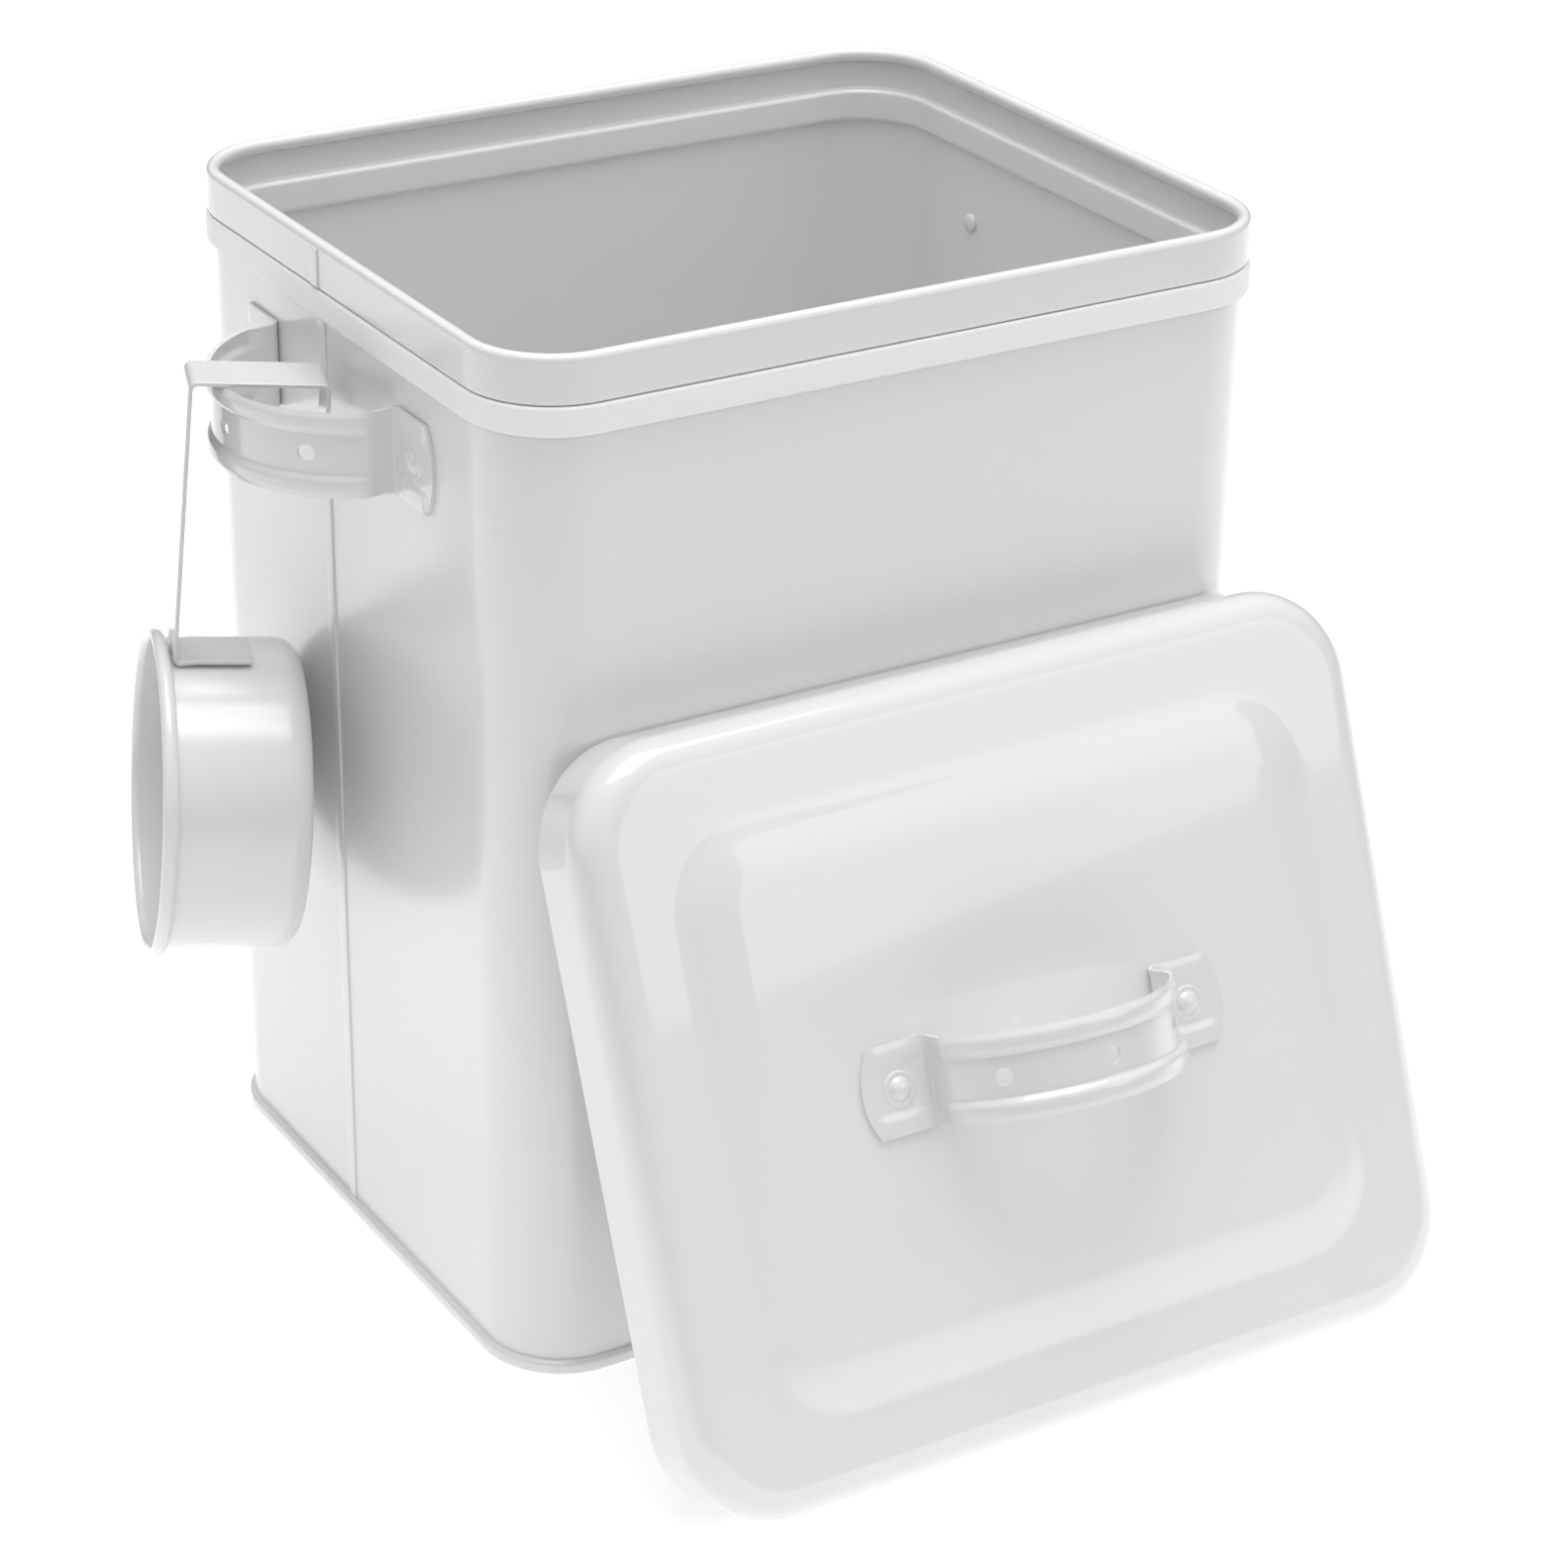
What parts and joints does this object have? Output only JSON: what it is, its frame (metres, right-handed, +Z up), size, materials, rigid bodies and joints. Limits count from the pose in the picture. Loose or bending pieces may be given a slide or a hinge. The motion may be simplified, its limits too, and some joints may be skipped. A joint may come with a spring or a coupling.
{
  "type": "pet food bin",
  "caption": "Rectangular enamelled steel storage bin with rounded corners, a gasket band below the rim, riveted strap handles, a lift-off lid and a hanging scoop.",
  "frame": {"origin": "centre of the bin's footprint, on the surface that the bin stands on", "axes": "+Z up; the lid leans on the front, which faces -Y; the scoop hangs on the left side, which faces -X"},
  "size_m": [0.3583, 0.3205, 0.32],
  "materials": {
    "enamel": "gloss pale grey enamel",
    "scoop_enamel": "gloss pale grey enamel",
    "gasket_silicone": "smooth white silicone"
  },
  "bodies": {
    "bin": {"body_shell": "enamel", "base_panel": "enamel", "gasket": "gasket_silicone", "left_handle": "enamel", "right_handle": "enamel", "rivet_left_front": "enamel", "rivet_left_rear": "enamel", "rivet_right_front": "enamel", "rivet_right_rear": "enamel"},
    "lid": {"lid_pan": "enamel", "lid_handle": "enamel", "lid_rivet_left": "enamel", "lid_rivet_right": "enamel"},
    "scoop": {"scoop_cup": "scoop_enamel", "scoop_strap": "scoop_enamel"}
  },
  "joints": [
    {"name": "lid_lift", "type": "slide", "parent": "bin", "child": "lid", "axis": [0, -0.9272, 0.3746], "range_m": [0, 0.3]},
    {"name": "scoop_lift_off", "type": "slide", "parent": "bin", "child": "scoop", "axis": [-0.7071, 0, 0.7071], "range_m": [0, 0.25]}
  ]
}
